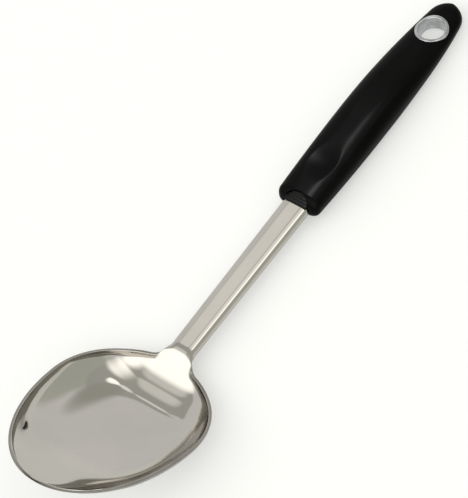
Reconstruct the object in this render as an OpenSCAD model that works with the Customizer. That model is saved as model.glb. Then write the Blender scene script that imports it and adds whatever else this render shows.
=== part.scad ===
// Serving spoon: one pressed steel bowl and channel stem, held in a black two-layer handle
// with a metal-lined hanging hole.
// X runs from the bowl to the handle's end, Y across, Z up. The spoon lies on a table at z = 0,
// on the underside of its bowl and of its handle. The origin is under the middle of its length.
// Each piece is drawn with the handle's underside level, and turned at the end until bowl and
// handle both touch the table.

/* [Overall] */
// Length from the tip of the bowl to the end of the handle, along the handle's underside
overall_l = 330; // [315:1:345]
// Length of the handle
handle_l = 138; // [128:1:148]

/* [Bowl] */
// Length of the bowl, measured in the plane of its rim
bowl_l = 102.4; // [94:0.2:110]
// Width of the bowl across its rim
bowl_w = 85.4; // [76:0.2:94]
// Depth of the bowl from the rim to the underside
bowl_d = 16.6; // [14:0.1:19]
// Height of the tip's edge above the line of the handle's underside
tip_h = 53.6; // [51:0.2:56]
// Angle between the rim and the handle's underside, tip up
bowl_tilt = 24.5; // [21:0.5:28]
// Thickness of the steel sheet
sheet_t = 1.5; // [1.2:0.1:1.8]

/* [Stem] */
// Width of the stem where it leaves the bowl
stem_neck_w = 13.4; // [12:0.2:15]
// Width of the stem at the handle
stem_mouth_w = 15.2; // [13.4:0.2:16.4]
// Height of the stem's turned-down sides, sheet included
flange_h = 3.8; // [3.2:0.1:4.6]
// Height of the stem's top face above the line of the handle's underside, at the handle's mouth
stem_mouth_z = 13.1; // [12.4:0.1:14]
// Fall of the stem from the bowl to the handle, in degrees
stem_fall = 2.1; // [1.5:0.1:2.7]
// Radius of the corner between the rim and the stem, seen from above
neck_corner_r = 10.5; // [8:0.5:14]
// Radius of the bend between the rim and the stem, seen from the side
neck_bend_r = 26; // [18:1:32]
// Length of the stem beyond the rim over which the bowl flattens out
neck_l = 8; // [6:0.5:12]
// Length of the tang inside the handle
tang_l = 64; // [50:1:70]

/* [Handle] */
// Width of the handle at its mouth
mouth_w = 24.6; // [23:0.2:26.5]
// Greatest width of the handle
handle_w = 27; // [26:0.2:29]
// Width towards which the handle tapers at its end
tail_w = 15.4; // [14:0.2:18]
// Height of the handle's top above the line of its underside, at the mouth
mouth_top_z = 17.6; // [17:0.1:19]
// Height of the handle's underside at the mouth, above its line further back
mouth_low_z = 5.9; // [5.2:0.1:6.4]
// Thickness of the handle at its end
tail_h = 9.1; // [8.4:0.1:10]
// Length of the round end, seen from above
tail_round = 9.5; // [8:0.5:11]
// Radius of the edge round the mouth
mouth_edge_r = 3.6; // [2.8:0.1:4]
// Lean of the mouth's face, in degrees
mouth_lean = 15; // [12:0.5:18]
// Greatest depth of the thumb scoop
scoop_d = 1.1; // [0.7:0.1:1.5]
// Distance from the mouth to the deepest part of the thumb scoop
scoop_x = 25.5; // [22:0.5:30]
// Radius of the notch in the top of the mouth
notch_r = 7.2; // [6.4:0.1:7.6]

/* [Core] */
// Width of the stiff core at the front
core_front_w = 20; // [19:0.2:21]
// Width of the stiff core at the back
core_back_w = 13; // [10:0.2:16]
// Length of the stiff core
core_l = 84; // [74:1:90]
// Core above the tang
core_over = 1.6; // [1.2:0.1:2]
// Core below the tang
core_under = 2; // [1.6:0.1:2.4]
// Diameter of the pins that lock the tang in the core
pin_d = 3; // [2:0.1:4]

/* [Eyelet] */
// Radius of the hanging hole
hole_r = 6.9; // [6:0.1:7.4]
// Wall of the eyelet's tube
tube_t = 0.8; // [0.6:0.1:1.2]
// Outer radius of the eyelet's flange
flange_r = 8.8; // [8.6:0.1:9.2]
// Thickness of the eyelet's flange and of its back ring
ring_t = 1.2; // [0.9:0.1:1.4]
// Distance from the hole's centre to the end of the handle
hole_back = 19.2; // [18:0.2:22]

/* [Ribbed wedge] */
// Number of ribs on the wedge
wedge_ribs = 4; // [3:1:5]
// Height of the wedge at its back, above the stem
wedge_h = 3.4; // [2.6:0.1:3.8]

/* [Clearances] */
// Gap between the tang and the core, and between the wedge and its seats
fit_gap = 0.15; // [0.1:0.05:0.3]
// Gap between the core and the outer handle
mould_gap = 0.1; // [0.05:0.05:0.2]
// Gap round the pins and the eyelet
pin_gap = 0.05; // [0.02:0.01:0.1]

/* [Hidden] */
round_fn = 96;
// Overrun of every cut
cut = 2;

end_x = overall_l / 2;
mouth_x = end_x - handle_l;

// Share of the bowl's length, from the tip, at which it is widest
bowl_widest_share = 0.615;
// Exponents of the rim's outline and of the bowl's section across
rim_power = 2.04;
across_power_y = 3.28;
across_power_z = 1.49;
// Side view of the bowl: a ramp from the tip runs smoothly into a steeper one up to the neck
ramp_ratio = 3;
ramp_power = 4.1;
flat_share = 0.389;
// Exponent of the stem's squarish channel
stem_power = 4.6;
// Shares of the bowl's length at which the centre line leaves the bowl's curve,
// and at which the section across starts to turn into the stem's
neck_start_share = 0.82;
section_start_share = 0.86;

// Mixing and easing
function mix(a, b, t) = a + (b - a) * t;
function ease(t) = let (c = min(max(t, 0), 1)) c * c * (3 - 2 * c);
function spow(v, p) = sign(v) * pow(abs(v), p);

// Rim: half width at distance u from the tip, along the rim
widest_u = bowl_l * bowl_widest_share;
function rim_half(u) =
    let (v = u < widest_u ? (widest_u - u) / widest_u : (u - widest_u) / (bowl_l - widest_u))
    bowl_w / 2 * pow(max(1 - pow(v, rim_power), 0), 1 / rim_power);

// Stem: half width of the channel's outside, at distance u from the tip
stem_in_mouth = stem_mouth_w / 2 - sheet_t;
function stem_half(u) =
    mix(stem_neck_w, stem_mouth_w, min(max((u - bowl_l) / (mouth_u - bowl_l), 0), 1)) / 2;

// Corner between rim and stem: an arc that touches both, found by halving
rim_steps = 60;
halvings = 24;
touch_share = 1.001;
rim_line = [for (i = [0:rim_steps]) let (u = mix(widest_u, bowl_l, 1 - pow(1 - i / rim_steps, 2)))
    [u, rim_half(u)]];
corner_y = stem_neck_w / 2 + neck_corner_r;
function corner_gap(u) = min([for (p = rim_line) norm(p - [u, corner_y])]) - neck_corner_r;
function find_corner(lo, hi, n) = n == 0 ? (lo + hi) / 2 :
    let (m = (lo + hi) / 2) corner_gap(m) > 0 ? find_corner(lo, m, n - 1) : find_corner(m, hi, n - 1);
corner_u = find_corner(widest_u, bowl_l + 2 * neck_corner_r, halvings);
corner_touch = [for (p = rim_line)
    if (norm(p - [corner_u, corner_y]) < neck_corner_r * touch_share) p[0]];
corner_from_u = len(corner_touch) > 0 ? corner_touch[0] : bowl_l;
function outer_half(u) = u < corner_from_u ? rim_half(u) :
    u > corner_u ? stem_half(u) :
    corner_y - sqrt(max(neck_corner_r * neck_corner_r - (u - corner_u) * (u - corner_u), 0));
// The sheet's thickness lies inside the rim of the bowl, but outside the channel of the stem
function half_w(u) = outer_half(u) - sheet_t * ease(-depth(u) / stem_rise);

// Depth of the centre line below the edge line: positive in the bowl, negative in the stem
tip_gap_share = 0.000625;
tip_gap_u = bowl_l * tip_gap_share;
neck_from_u = bowl_l * neck_start_share;
neck_to_u = bowl_l + neck_l;
stem_rise = flange_h - sheet_t;
function hollow(u) =
    let (a = max(u, tip_gap_u), b = ramp_ratio * max(bowl_l - u, tip_gap_u), c = bowl_l * flat_share)
    pow(pow(a, -ramp_power) + pow(b, -ramp_power) + pow(c, -ramp_power), -1 / ramp_power);
low_steps = 80;
hollow_most = max([for (i = [1:low_steps]) hollow(bowl_l * i / low_steps)]);
function bowl_curve(u) = bowl_d * hollow(u) / hollow_most;
slope_step_share = 0.001;
slope_step = bowl_l * slope_step_share;
neck_from_d = bowl_curve(neck_from_u);
neck_from_slope =
    (bowl_curve(neck_from_u + slope_step) - bowl_curve(neck_from_u - slope_step)) / (2 * slope_step);
function neck_curve(u) =
    let (run = neck_to_u - neck_from_u, t = (u - neck_from_u) / run)
    neck_from_d * (1 + 2 * t) * (1 - t) * (1 - t) + neck_from_slope * run * t * (1 - t) * (1 - t)
        - stem_rise * t * t * (3 - 2 * t);
function depth(u) = u < neck_from_u ? bowl_curve(u) : u < neck_to_u ? neck_curve(u) : -stem_rise;

// Edge line in side view: straight along the rim, a bend, straight along the stem
tip_z = tip_h;
// Place of the tip, so that the bulge under it lies at the end of the overall length
tip_steps = 40;
tip_line = [for (i = [0:tip_steps]) let (u = tip_gap_u * i)
    u * cos(bowl_tilt) - depth(u) * sin(bowl_tilt)];
tip_x = -overall_l / 2 - min(tip_line);
edge_mouth_z = stem_mouth_z - flange_h;
edge_run = mouth_x - tip_x;
bend_u = (tip_z - edge_mouth_z - edge_run * tan(stem_fall))
    / (sin(bowl_tilt) - cos(bowl_tilt) * tan(stem_fall));
bend_angle = bowl_tilt - stem_fall;
bend_tangent = neck_bend_r * tan(bend_angle / 2);
bend_len = neck_bend_r * bend_angle * PI / 180;
bend_from_u = bend_u - bend_tangent;
bend_to_u = bend_from_u + bend_len;
bend_from = [tip_x + bend_from_u * cos(bowl_tilt), tip_z - bend_from_u * sin(bowl_tilt)];
bend_to = [tip_x + bend_u * cos(bowl_tilt) + bend_tangent * cos(stem_fall),
           tip_z - bend_u * sin(bowl_tilt) - bend_tangent * sin(stem_fall)];
mouth_u = bend_to_u + (mouth_x - bend_to[0]) / cos(stem_fall);
function fall(u) = u < bend_from_u ? bowl_tilt :
    u > bend_to_u ? stem_fall : bowl_tilt - (u - bend_from_u) / neck_bend_r * 180 / PI;
function edge(u) =
    u < bend_from_u ? [tip_x + u * cos(bowl_tilt), tip_z - u * sin(bowl_tilt)] :
    u > bend_to_u ? bend_to + (u - bend_to_u) * [cos(stem_fall), -sin(stem_fall)] :
    bend_from + neck_bend_r * [sin(bowl_tilt) - sin(fall(u)), cos(bowl_tilt) - cos(fall(u))];

// A point of the underside: u along the edge line, a from -90 to 90 degrees across
section_from_u = bowl_l * section_start_share;
function under(u, a) =
    let (t = ease((u - section_from_u) / (neck_to_u - section_from_u)),
         py = 2 / mix(across_power_y, stem_power, t),
         pz = 2 / mix(across_power_z, stem_power, t),
         y = half_w(u) * spow(sin(a), py),
         d = depth(u) * pow(abs(cos(a)), pz),
         f = fall(u), e = edge(u))
    [e[0] - d * sin(f), y, e[1] - d * cos(f)];
// Direction in which the sheet's thickness is laid on
nudge_share = 0.0025;
nudge_u = bowl_l * nudge_share;
nudge_a = 1.5;
edge_a = 89.9;
function unit(v) = v / norm(v);
function sheet_normal(u, a) =
    let (a0 = max(a - nudge_a, -edge_a), a1 = min(a + nudge_a, edge_a),
         u0 = max(u - nudge_u, tip_gap_u / 2),
         along = under(u + nudge_u, a) - under(u0, a),
         across = under(u, a1) - under(u, a0),
         square_on = unit(cross(along, across)),
         up = [sin(fall(u)), 0, cos(fall(u))])
    u < neck_from_u ? square_on : unit(mix(up, square_on, ease(abs(depth(u)) / stem_rise)));

// Stations along the sheet: close together at the tip and in the neck
tang_u = mouth_u + tang_l / cos(stem_fall);
bowl_steps = 34;
neck_steps = 20;
stem_steps = 6;
station_power = 1.7;
stations = concat(
    [for (i = [0:bowl_steps]) mix(tip_gap_u, section_from_u, pow(i / bowl_steps, station_power))],
    [for (i = [1:neck_steps]) mix(section_from_u, neck_to_u + neck_l / 2, i / neck_steps)],
    [for (i = [1:stem_steps]) mix(neck_to_u + neck_l / 2, tang_u, i / stem_steps)]);
across_steps = 30;
across_angles = [for (j = [0:across_steps]) -90 + 180 * j / across_steps];

module pressed_sheet() {
    n = len(stations);
    m = across_steps + 1;
    low = [for (u = stations) for (a = across_angles) under(u, a)];
    high = [for (u = stations) for (a = across_angles) under(u, a) + sheet_t * sheet_normal(u, a)];
    function lo(i, j) = i * m + j;
    function hi(i, j) = n * m + i * m + j;
    polyhedron(points = concat(low, high), faces = concat(
        [for (i = [0:n - 2]) for (j = [0:m - 2]) each [
            [hi(i, j), hi(i, j + 1), hi(i + 1, j + 1)], [hi(i, j), hi(i + 1, j + 1), hi(i + 1, j)],
            [lo(i, j), lo(i + 1, j + 1), lo(i, j + 1)], [lo(i, j), lo(i + 1, j), lo(i + 1, j + 1)]]],
        [for (i = [0:n - 2]) each [
            [lo(i, 0), hi(i, 0), hi(i + 1, 0)], [lo(i, 0), hi(i + 1, 0), lo(i + 1, 0)],
            [lo(i, m - 1), hi(i + 1, m - 1), hi(i, m - 1)],
            [lo(i, m - 1), lo(i + 1, m - 1), hi(i + 1, m - 1)]]],
        [for (j = [0:m - 2]) each [
            [lo(0, j), lo(0, j + 1), hi(0, j + 1)], [lo(0, j), hi(0, j + 1), hi(0, j)],
            [lo(n - 1, j), hi(n - 1, j + 1), lo(n - 1, j + 1)],
            [lo(n - 1, j), hi(n - 1, j), hi(n - 1, j + 1)]]]));
}

// Everything that lies along the stem is placed in the stem's own frame:
// x from the mouth, z from the stem's top face
module along_stem() {
    translate([mouth_x, 0, stem_mouth_z]) rotate([0, stem_fall, 0]) children();
}

// Pins: two along the tang, at these shares of its length
pin_shares = [0.42, 0.8];
core_low = flange_h + core_under;
core_h = core_low + core_over;
module at_pins() {
    along_stem() for (share = pin_shares) translate([tang_l * share, 0, -core_low]) children();
}

module pin_holes() {
    at_pins() translate([0, 0, -cut])
        cylinder(h = core_h + 2 * cut, r = pin_d / 2 + pin_gap, $fn = round_fn);
}

module bowl_and_stem() {
    color("silver") difference() {
        pressed_sheet();
        pin_holes();
    }
}

// Distance from the mouth back to the centre of the notch
notch_back = mouth_edge_r / 3;

// Core: a tapered plank with a pocket for the tang and a tongue inside the tang's channel
core_start = notch_r + mouth_edge_r / 2;
core_corner = core_back_w / 4;
module core_plan(grow) {
    f = core_front_w / 2 + grow;
    b = core_back_w / 2 + grow;
    x0 = core_start - grow;
    x1 = core_start + core_l + grow;
    c = core_corner + grow;
    polygon([[x0, -f], [x1 - c, -b], [x1, -b + c], [x1, b - c], [x1 - c, b], [x0, f]]);
}
module core_body(grow) {
    along_stem() translate([0, 0, -core_low - grow])
        linear_extrude(height = core_h + 2 * grow) core_plan(grow);
}
pocket_half = stem_mouth_w / 2 + fit_gap;
tongue_half = stem_in_mouth - fit_gap;
tongue_top = sheet_t + fit_gap + sheet_t / 3;
module handle_core() {
    color("dimgray") difference() {
        union() {
            difference() {
                core_body(0);
                along_stem() translate([core_start - cut, -pocket_half, -flange_h - fit_gap])
                    cube([cut + tang_l - core_start + 2 * fit_gap, 2 * pocket_half, flange_h + 2 * fit_gap]);
            }
            along_stem() translate([core_start, -tongue_half, -core_low])
                cube([tang_l - core_start + core_corner, 2 * tongue_half, core_low - tongue_top]);
        }
        pin_holes();
    }
}

module tang_pins() {
    color("lightgray") at_pins() cylinder(h = core_h, r = pin_d / 2, $fn = round_fn);
}

// Handle: half width, top and underside at the share t of its length
widest_share = 0.374;
taper_power = 3.1;
top_from_share = 0.414;
top_to_share = 1.023;
low_share = 0.516;
low_power = 1.25;
function grip_taper(t) = t < widest_share ?
    mix(mouth_w, handle_w, sin(90 * t / widest_share)) / 2 :
    mix(handle_w, tail_w, pow((t - widest_share) / (1 - widest_share), taper_power)) / 2;
function top_fall(t) = ease((t - top_from_share) / (top_to_share - top_from_share));
function grip_top(t) = mix(mouth_top_z, tail_h, top_fall(t) / top_fall(1));
function grip_low(t) = mouth_low_z * pow(max(1 - t / low_share, 0), low_power);
// Rounding at the two ends, as a share of the full section
tail_power = 2.9;
function tail_share(x) = let (q = max(x - (end_x - tail_round), 0) / tail_round)
    sqrt(max(1 - pow(q, tail_power), 0));
function edge_in(x) = let (q = max(mouth_x + mouth_edge_r - x, 0) / mouth_edge_r)
    mouth_edge_r * (1 - sqrt(max(1 - q * q, 0)));
// Squareness of the section, from the mouth to the tail
mouth_power = 2.8;
round_power = 2.45;
function grip_power(t) = mix(mouth_power, round_power, ease(t));
// Thumb scoop: an oval dish whose rim swings out and back in, and behind it a narrow flat
// that widens and then fades out towards the tail
scoop_half_share = 0.31;
rim_d_share = 0.5;
rim_flat_share = 0.025;
cup_half_w = handle_w * 0.3;
back_d_share = 0.36;
back_from_share = 1.6;
back_over_share = 1.5;
back_fade_share = 3.2;
back_end_share = 0.8;
function scoop_swell(x) = let (d = (x - mouth_x - scoop_x) / (scoop_x * scoop_half_share)) exp(-d * d);
function back_flat(x) = ease((x - mouth_x - scoop_x * back_from_share) / (scoop_x * back_over_share))
    * (1 - ease((x - mouth_x - scoop_x * back_fade_share) / (scoop_x * back_end_share)));
function scoop(x) = scoop_d
    * (mix(rim_flat_share, rim_d_share, scoop_swell(x)) + back_d_share * back_flat(x));
function cup(x, y) = scoop_d * (1 - rim_d_share) * scoop_swell(x) * max(1 - pow(y / cup_half_w, 2), 0);
function soft_min(a, b, k) = let (h = max(k - abs(a - b), 0) / k) min(a, b) - h * h * k / 4;
tail_end_share = 0.58;
// The mouth's face leans forward at its top
lean_l = handle_l / 8;
lean_power = 1.5;
lean_h = mouth_top_z - mouth_low_z;
function lean(x, z) = lean_h * tan(mouth_lean) * pow(max((z - mouth_low_z) / lean_h, 0), lean_power)
    * (1 - ease((x - mouth_x) / lean_l));
function grip_point(x, a) =
    let (t = (x - mouth_x) / handle_l, s = tail_share(x), in = edge_in(x),
         top = grip_top(t), low = grip_low(t), mid = (top + low) / 2,
         hw = grip_taper(t) * s - in,
         hh = (top - low) / 2 * mix(tail_end_share, 1, s) - in,
         p = 2 / grip_power(t),
         y = hw * spow(cos(a), p),
         z = mid + hh * spow(sin(a), p),
         plate = top - in - scoop(x),
         zs = sin(a) > 0 ? soft_min(z, plate - cup(x, y), scoop_d / 8) : z)
    [x + lean(x, zs), y, zs];

edge_steps = 5;
grip_steps = 30;
tail_steps = 12;
ring_steps = 44;
tail_x = end_x - tail_round;
tail_close_share = 0.995;
grip_stations = concat(
    [for (i = [0:edge_steps - 1]) mouth_x + mouth_edge_r * (1 - cos(90 * i / edge_steps)) ],
    [for (i = [0:grip_steps]) mix(mouth_x + mouth_edge_r, tail_x, i / grip_steps)],
    [for (i = [1:tail_steps]) tail_x + tail_round * tail_close_share * sin(90 * i / tail_steps)]);
module grip_form() {
    n = len(grip_stations);
    m = ring_steps;
    points = [for (x = grip_stations) for (k = [0:m - 1]) grip_point(x, 360 * k / m)];
    function at(i, k) = i * m + k % m;
    polyhedron(points = points, faces = concat(
        [for (i = [0:n - 2]) for (k = [0:m - 1]) each [
            [at(i, k), at(i, k + 1), at(i + 1, k + 1)], [at(i, k), at(i + 1, k + 1), at(i + 1, k)]]],
        [for (k = [1:m - 2]) each [
            [at(0, 0), at(0, k + 1), at(0, k)], [at(n - 1, 0), at(n - 1, k), at(n - 1, k + 1)]]]));
}

// Eyelet: stands square on the table, and its flange and back ring follow the handle's surface
hole_x = end_x - hole_back;
hole_share = (hole_x - mouth_x) / handle_l;
crown_z = grip_top(hole_share);
crown_step_share = 0.02;
crown_fall = atan((grip_top(hole_share - crown_step_share) - grip_top(hole_share + crown_step_share))
    / (2 * crown_step_share * handle_l));
crown_r_share = 0.85;
crown_r = handle_w * crown_r_share;
crown_l = 6 * flange_r;
tube_r = hole_r + tube_t;
ring_proud = ring_t / 3;
module crown(r) {
    translate([hole_x, 0, crown_z + ring_proud - crown_r]) rotate([0, 90 + crown_fall, 0])
        cylinder(h = crown_l, r = r, center = true, $fn = 2 * round_fn);
}
module post(r) {
    translate([hole_x, 0, 0]) cylinder(h = crown_z + cut, r = r, $fn = round_fn);
}
module belly(r) {
    translate([hole_x, 0, crown_r]) rotate([0, 90, 0])
        cylinder(h = crown_l, r = r, center = true, $fn = 2 * round_fn);
}
module eyelet_tube() {
    color("gainsboro") difference() {
        union() {
            intersection() {
                post(tube_r);
                crown(crown_r);
                belly(crown_r);
            }
            difference() {
                intersection() {
                    post(flange_r);
                    crown(crown_r);
                }
                crown(crown_r - ring_t);
                translate([hole_x, 0, -cut]) cylinder(h = cut + crown_z / 2, r = 2 * flange_r);
            }
        }
        translate([hole_x, 0, -cut]) cylinder(h = crown_z + 2 * cut, r = hole_r, $fn = round_fn);
    }
}

module eyelet_back_ring() {
    color("gainsboro") difference() {
        intersection() {
            translate([hole_x, 0, 0]) cylinder(h = crown_z / 2, r = flange_r, $fn = round_fn);
            belly(crown_r);
        }
        belly(crown_r - ring_t);
        translate([hole_x, 0, -cut]) cylinder(h = crown_z, r = tube_r + pin_gap, $fn = round_fn);
    }
}

// Wedge: a ribbed ramp that fills the notch above the stem
wedge_front = mouth_edge_r / 6;
wedge_back = notch_r - notch_back - fit_gap;
wedge_r = notch_r - fit_gap;
wedge_low = wedge_h / (wedge_ribs + 1);
rib_l = (wedge_back - wedge_front) / wedge_ribs;
rib_rise = (wedge_h - wedge_low) / wedge_ribs;
// Shares of a rib's length at which its slope ends and at which its flat ends
slope_end_share = 0.45;
flat_end_share = 0.8;
wedge_profile = concat(
    [[wedge_front, fit_gap]],
    [for (i = [0:wedge_ribs - 1]) each [
        [wedge_front + i * rib_l, wedge_low + i * rib_rise],
        [wedge_front + (i + slope_end_share) * rib_l, wedge_low + (i + 1) * rib_rise],
        [wedge_front + (i + flat_end_share) * rib_l, wedge_low + (i + 1) * rib_rise]]],
    [[wedge_back, wedge_h], [wedge_back, fit_gap]]);
module mouth_wedge() {
    color("black") along_stem() intersection() {
        translate([-notch_back, 0, -cut]) cylinder(h = wedge_h + 2 * cut, r = wedge_r, $fn = round_fn);
        translate([0, wedge_r, 0]) rotate([90, 0, 0])
            linear_extrude(height = 2 * wedge_r) polygon(wedge_profile);
    }
}

module handle_grip() {
    color("black") difference() {
        grip_form();
        core_body(mould_gap);
        along_stem() translate([-cut - mouth_edge_r, -pocket_half, -flange_h - fit_gap])
            cube([cut + mouth_edge_r + core_start, 2 * pocket_half, flange_h + 2 * fit_gap]);
        along_stem() translate([-notch_back, 0, 0]) cylinder(h = mouth_top_z, r = notch_r, $fn = round_fn);
        translate([hole_x, 0, -cut]) cylinder(h = crown_z + 2 * cut, r = tube_r + pin_gap, $fn = round_fn);
        difference() {
            translate([hole_x, 0, -cut])
                cylinder(h = cut + crown_z / 2, r = flange_r + pin_gap, $fn = round_fn);
            belly(crown_r - ring_t - pin_gap);
        }
        difference() {
            translate([hole_x, 0, crown_z / 2])
                cylinder(h = crown_z, r = flange_r + pin_gap, $fn = round_fn);
            crown(crown_r - ring_t - pin_gap);
        }
    }
}

// Resting place: how far the spoon turns, bowl down, until the undersides of bowl and handle
// both touch the table, found by halving
bowl_line = [for (i = [0:low_steps]) under(mix(tip_gap_u, bowl_l, i / low_steps), 0)];
belly_line = [for (i = [0:low_steps]) let (t = i / low_steps) [mouth_x + t * handle_l, 0, grip_low(t)]];
function turned_x(p, turn) = p[0] * cos(turn) - p[2] * sin(turn);
function turned_z(p, turn) = p[0] * sin(turn) + p[2] * cos(turn);
function lowest(line, turn) = min([for (p = line) turned_z(p, turn)]);
function find_turn(lo, hi, n) = n == 0 ? (lo + hi) / 2 :
    let (m = (lo + hi) / 2)
    lowest(bowl_line, m) > lowest(belly_line, m) ? find_turn(m, hi, n - 1) : find_turn(lo, m, n - 1);
turn_most = 10;
rest_turn = find_turn(0, turn_most, halvings);
rest_z = -lowest(belly_line, rest_turn);
tip_rows = [for (i = [0:tip_steps]) let (u = tip_gap_u * (i + 1), p = under(u, 0)) each
    [p, p + sheet_t * sheet_normal(u, 0)]];
tail_rows = [for (i = [0:3]) for (k = [0:ring_steps - 1])
    grip_point(grip_stations[len(grip_stations) - 1 - i], 360 * k / ring_steps)];
front_x = min([for (p = tip_rows) turned_x(p, rest_turn)]);
rear_x = max([for (p = tail_rows) turned_x(p, rest_turn)]);
module at_rest() {
    translate([-(front_x + rear_x) / 2, 0, rest_z]) rotate([0, -rest_turn, 0]) children();
}

at_rest() bowl_and_stem();
at_rest() handle_core();
at_rest() handle_grip();
at_rest() mouth_wedge();
at_rest() tang_pins();
at_rest() eyelet_tube();
at_rest() eyelet_back_ring();
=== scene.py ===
import bpy
import numpy as np
from math import cos, pi, radians, sin, sqrt, tan
from mathutils import Matrix


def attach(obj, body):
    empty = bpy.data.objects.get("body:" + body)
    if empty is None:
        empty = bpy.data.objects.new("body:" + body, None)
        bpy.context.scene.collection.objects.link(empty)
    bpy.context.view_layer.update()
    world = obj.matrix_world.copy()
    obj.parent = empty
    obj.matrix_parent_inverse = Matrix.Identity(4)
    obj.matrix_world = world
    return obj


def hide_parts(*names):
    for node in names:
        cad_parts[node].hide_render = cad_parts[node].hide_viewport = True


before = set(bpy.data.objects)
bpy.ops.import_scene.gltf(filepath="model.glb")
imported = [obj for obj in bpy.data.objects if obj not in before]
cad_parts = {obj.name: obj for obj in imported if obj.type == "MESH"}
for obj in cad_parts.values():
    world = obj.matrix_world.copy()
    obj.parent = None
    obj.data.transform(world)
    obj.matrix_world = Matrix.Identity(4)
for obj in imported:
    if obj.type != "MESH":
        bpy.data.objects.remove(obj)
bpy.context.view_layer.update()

MM = 0.001
BODY = "root"

# Sizes in millimetres, the same values as the part's source. Each piece is drawn with the
# handle's underside level, and turned when it is made, until bowl and handle both touch the table.
OVERALL_L, HANDLE_L = 330.0, 138.0
BOWL_L, BOWL_W, BOWL_D, TIP_H = 102.4, 85.4, 16.6, 53.6
BOWL_TILT, STEM_FALL = radians(24.5), radians(2.1)
SHEET_T = 1.5
STEM_NECK_W, STEM_MOUTH_W = 13.4, 15.2
FLANGE_H, STEM_MOUTH_Z = 3.8, 13.1
NECK_CORNER_R, NECK_BEND_R, NECK_L = 10.5, 26.0, 8.0
TANG_L = 64.0
MOUTH_W, HANDLE_W, TAIL_W = 24.6, 27.0, 15.4
MOUTH_TOP_Z, MOUTH_LOW_Z, TAIL_H = 17.6, 5.9, 9.1
TAIL_ROUND, MOUTH_EDGE_R, MOUTH_LEAN = 9.5, 3.6, radians(15.0)
SCOOP_D, SCOOP_X = 1.1, 25.5
NOTCH_R = 7.2
CORE_FRONT_W, CORE_BACK_W, CORE_L = 20.0, 13.0, 84.0
CORE_OVER, CORE_UNDER = 1.6, 2.0
HOLE_R, TUBE_T, FLANGE_R, RING_T, HOLE_BACK = 6.9, 0.8, 8.8, 1.2, 19.2
WEDGE_RIBS, WEDGE_H = 4, 3.4
FIT_GAP, MOULD_GAP, PIN_GAP = 0.15, 0.1, 0.05

END_X = OVERALL_L / 2
MOUTH_X = END_X - HANDLE_L
STEM_RISE = FLANGE_H - SHEET_T

# Places along the bowl, counted from its tip: where it is widest, the small gap at the tip, where
# the neck starts and ends, and where the section starts to change from the bowl's to the stem's
WIDEST_U = BOWL_L * 0.615
TIP_GAP_U = BOWL_L * 0.000625
NECK_FROM_U, NECK_TO_U = BOWL_L * 0.82, BOWL_L + NECK_L
SHAPE_FROM_U = BOWL_L * 0.86

# Powers of the outline and of the sections across, in width and in height
RIM_POWER, ACROSS_POWER_Y, ACROSS_POWER_Z, STEM_POWER = 2.04, 3.28, 1.49, 4.6

# The hollow along its middle: how much steeper the slope at the neck is than the one at the tip,
# how softly both level out, and after what share of the length the tip's slope would be level
RAMP_RATIO, RAMP_POWER, FLAT_SHARE = 3.0, 4.1, 0.389

# How finely places are searched for
HALVINGS, RIM_STEPS, MIDDLE_STEPS, TIP_STEPS = 40, 2000, 80, 40


def mix(a, b, t):
    return a + (b - a) * t


def ease(t):
    t = np.clip(t, 0, 1)
    return t * t * (3 - 2 * t)


def signed_power(v, p):
    return np.sign(v) * np.abs(v) ** p


# ---- Steel: the rim, the stem and the neck between them, seen from above

def rim_half(u):
    v = np.where(u < WIDEST_U, (WIDEST_U - u) / WIDEST_U, (u - WIDEST_U) / (BOWL_L - WIDEST_U))
    return BOWL_W / 2 * np.maximum(1 - np.abs(v) ** RIM_POWER, 0) ** (1 / RIM_POWER)


def find_neck_corner():
    """Centre of the arc that touches both the rim and the stem, and where it leaves the rim."""
    u = mix(WIDEST_U, BOWL_L, 1 - (1 - np.linspace(0, 1, RIM_STEPS + 1)) ** 2)
    rim = rim_half(u)
    y = STEM_NECK_W / 2 + NECK_CORNER_R
    low, high = WIDEST_U, BOWL_L + 2 * NECK_CORNER_R
    for _ in range(HALVINGS):
        mid = (low + high) / 2
        if np.hypot(u - mid, rim - y).min() > NECK_CORNER_R:
            high = mid
        else:
            low = mid
    return low, y, u[np.argmin(np.hypot(u - low, rim - y))]


CORNER_U, CORNER_Y, CORNER_FROM_U = find_neck_corner()


def hollow(u):
    """A ramp from the tip that levels out and runs smoothly into a steep one up to the neck."""
    a = np.maximum(u, TIP_GAP_U)
    b = RAMP_RATIO * np.maximum(BOWL_L - u, TIP_GAP_U)
    c = BOWL_L * FLAT_SHARE
    return (a ** -RAMP_POWER + b ** -RAMP_POWER + c ** -RAMP_POWER) ** (-1 / RAMP_POWER)


HOLLOW_MOST = hollow(BOWL_L * np.arange(1, MIDDLE_STEPS + 1) / MIDDLE_STEPS).max()


def bowl_curve(u):
    return BOWL_D * hollow(u) / HOLLOW_MOST


def depth(u):
    """Depth of the centre line below the edge line: positive in the bowl, negative in the stem."""
    step = BOWL_L / 1000
    start = bowl_curve(NECK_FROM_U)
    slope = (bowl_curve(NECK_FROM_U + step) - bowl_curve(NECK_FROM_U - step)) / (2 * step)
    run = NECK_TO_U - NECK_FROM_U
    t = (u - NECK_FROM_U) / run
    neck = start * (1 + 2 * t) * (1 - t) ** 2 + slope * run * t * (1 - t) ** 2 \
        - STEM_RISE * t * t * (3 - 2 * t)
    return np.where(u < NECK_FROM_U, bowl_curve(np.minimum(u, NECK_FROM_U)),
                    np.where(u < NECK_TO_U, neck, -STEM_RISE))


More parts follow.
